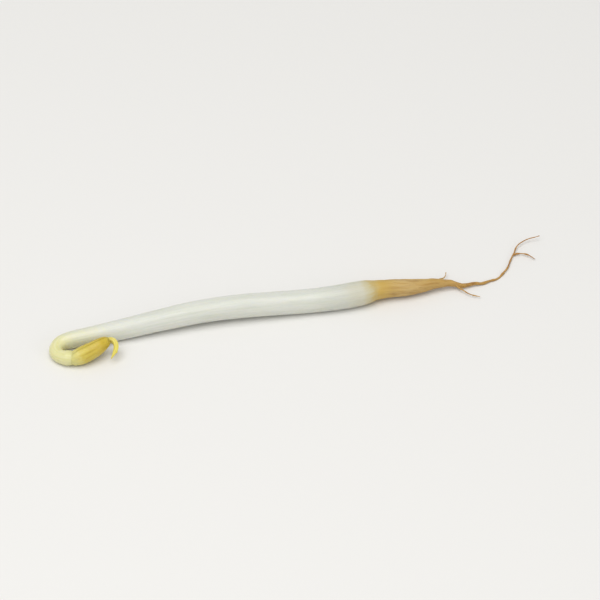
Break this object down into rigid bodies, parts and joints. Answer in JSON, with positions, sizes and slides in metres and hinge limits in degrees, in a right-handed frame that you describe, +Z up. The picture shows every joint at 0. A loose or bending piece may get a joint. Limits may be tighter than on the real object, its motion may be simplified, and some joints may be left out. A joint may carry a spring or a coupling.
{
  "type": "bean sprout",
  "caption": "Single mung bean sprout lying on its side: plump white hooked stem, tan tapering root, closed seed leaves and curled first leaves.",
  "frame": {"origin": "middle of the small flat spot under the thick end of the stem, on the surface that the sprout lies on", "axes": "+X along the sprout towards the tip of its root, +Y to the side that the stem bows to and the root turns to, +Z up"},
  "size_m": [0.0708, 0.0116, 0.0036],
  "materials": {
    "stem": "moist, translucent white plant skin with a soft gloss, pale yellow at the hook",
    "root": "matt tan root skin with fine lengthwise wrinkles",
    "seed_leaf": "waxy ochre yellow with fine lengthwise lines",
    "first_leaf": "soft bright yellow leaf"
  },
  "bodies": {
    "root": {"stem": "stem", "root": "root", "seed_leaf_outer": "seed_leaf", "seed_leaf_inner": "seed_leaf", "first_leaves": "first_leaf"}
  },
  "joints": []
}
